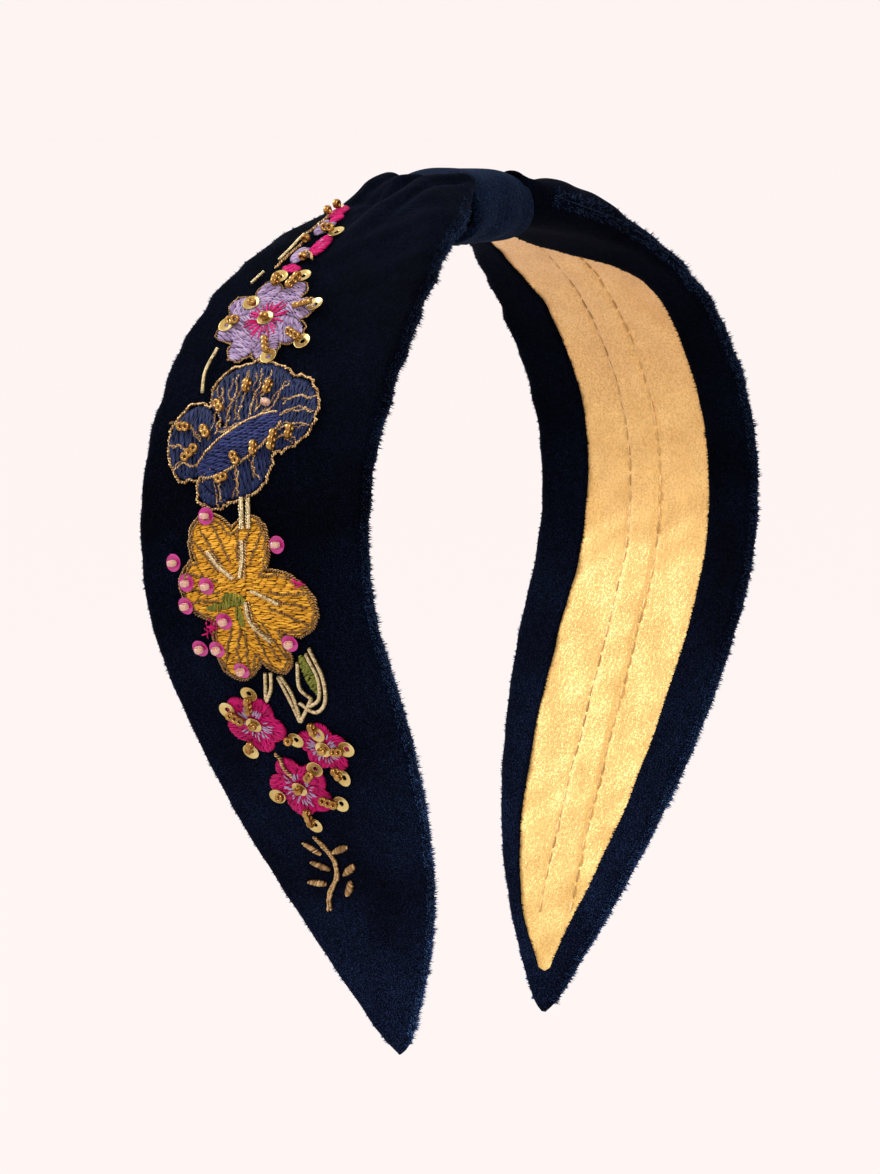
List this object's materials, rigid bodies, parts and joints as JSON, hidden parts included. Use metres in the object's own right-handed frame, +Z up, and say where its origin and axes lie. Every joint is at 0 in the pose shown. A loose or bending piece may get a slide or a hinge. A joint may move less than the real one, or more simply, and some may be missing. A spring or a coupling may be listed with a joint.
{
  "type": "knotted headband",
  "caption": "Wide velvet headband on a sprung hoop, gathered into a knot on top, with beaded flower embroidery down its side and a metallic lining.",
  "frame": {"origin": "middle of the head space, on the arch's plane of symmetry, 72 mm under the top of the arch's middle line", "axes": "+Z up to the knot, X across the head from temple to temple with the embroidered arm at -X, -Y to the front edge"},
  "size_m": [0.1314, 0.0448, 0.1498],
  "materials": {
    "navy_velvet": "deep cut-pile velvet with a soft blue sheen",
    "felt": "pressed felt",
    "metallic_lining": "foiled suede, softly glinting",
    "lining_thread": "sewing thread",
    "sprung_steel": "cold rolled",
    "cap_plastic": "moulded",
    "navy_thread": "sewing thread",
    "lilac_silk": "satin stitch, silky",
    "pink_silk": "satin stitch, silky",
    "navy_silk": "satin stitch, silky",
    "blue_silk": "satin stitch, silky",
    "yellow_silk": "satin stitch, silky",
    "green_silk": "satin stitch, silky",
    "gold_thread": "twisted metallic thread",
    "gold_purl": "coiled wire, antique gold",
    "gold_sequin": "metallised",
    "magenta_sequin": "translucent gloss",
    "gold_bead": "metallic bronze-gold coating",
    "clear_bead": "clear with a copper lining"
  },
  "bodies": {
    "knot": {"knot_wrap": "navy_velvet", "gathered_core": "navy_velvet", "binding_thread": "navy_thread", "closing_stitches": "navy_thread", "spring_hoop": "sprung_steel"},
    "left_arm": {"bud_spray_lilac": "lilac_silk", "bud_spray_pink": "pink_silk", "channel_stitches_left": "lining_thread", "clear_beads": "clear_bead", "felt_padding_left": "felt", "flower_chain": "gold_purl", "flower_stem": "gold_purl", "gold_beads": "gold_bead", "gold_sequins": "gold_sequin", "gold_sprig_leaves": "gold_thread", "gold_sprig_stem": "gold_thread", "green_leaf": "green_silk", "hoop_tip_cap_left": "cap_plastic", "leaf_purl": "gold_purl", "lilac_flower": "lilac_silk", "lilac_flower_edging": "gold_thread", "lilac_flower_heart": "pink_silk", "lining_left": "metallic_lining", "magenta_sequins": "magenta_sequin", "navy_flower": "navy_silk", "navy_flower_edging": "gold_thread", "navy_flower_fold": "blue_silk", "pink_flower_hearts": "lilac_silk", "pink_flower_lower": "pink_silk", "pink_flower_side": "pink_silk", "pink_flower_upper": "pink_silk", "stem_wires": "gold_purl", "velvet_cover_left": "navy_velvet", "velvet_pleat_left": "navy_velvet", "yellow_flower": "yellow_silk", "yellow_flower_edging": "gold_thread", "yellow_flower_heart": "green_silk", "yellow_flower_purl": "gold_purl"},
    "right_arm": {"channel_stitches_right": "lining_thread", "felt_padding_right": "felt", "hoop_tip_cap_right": "cap_plastic", "lining_right": "metallic_lining", "velvet_cover_right": "navy_velvet", "velvet_pleat_right": "navy_velvet"}
  },
  "joints": [
    {"name": "left_arm_flex", "type": "hinge", "parent": "knot", "child": "left_arm", "pos_m": [-0.0097, 0, 0.0713], "axis": [0, 1, 0], "range_deg": [-4, 12], "stiffness_Nm_per_rad": 0.9, "deforming": ["spring_hoop"]},
    {"name": "right_arm_flex", "type": "hinge", "parent": "knot", "child": "right_arm", "pos_m": [0.0097, 0, 0.0713], "axis": [0, -1, 0], "range_deg": [-4, 12], "stiffness_Nm_per_rad": 0.9, "deforming": ["spring_hoop"]}
  ]
}
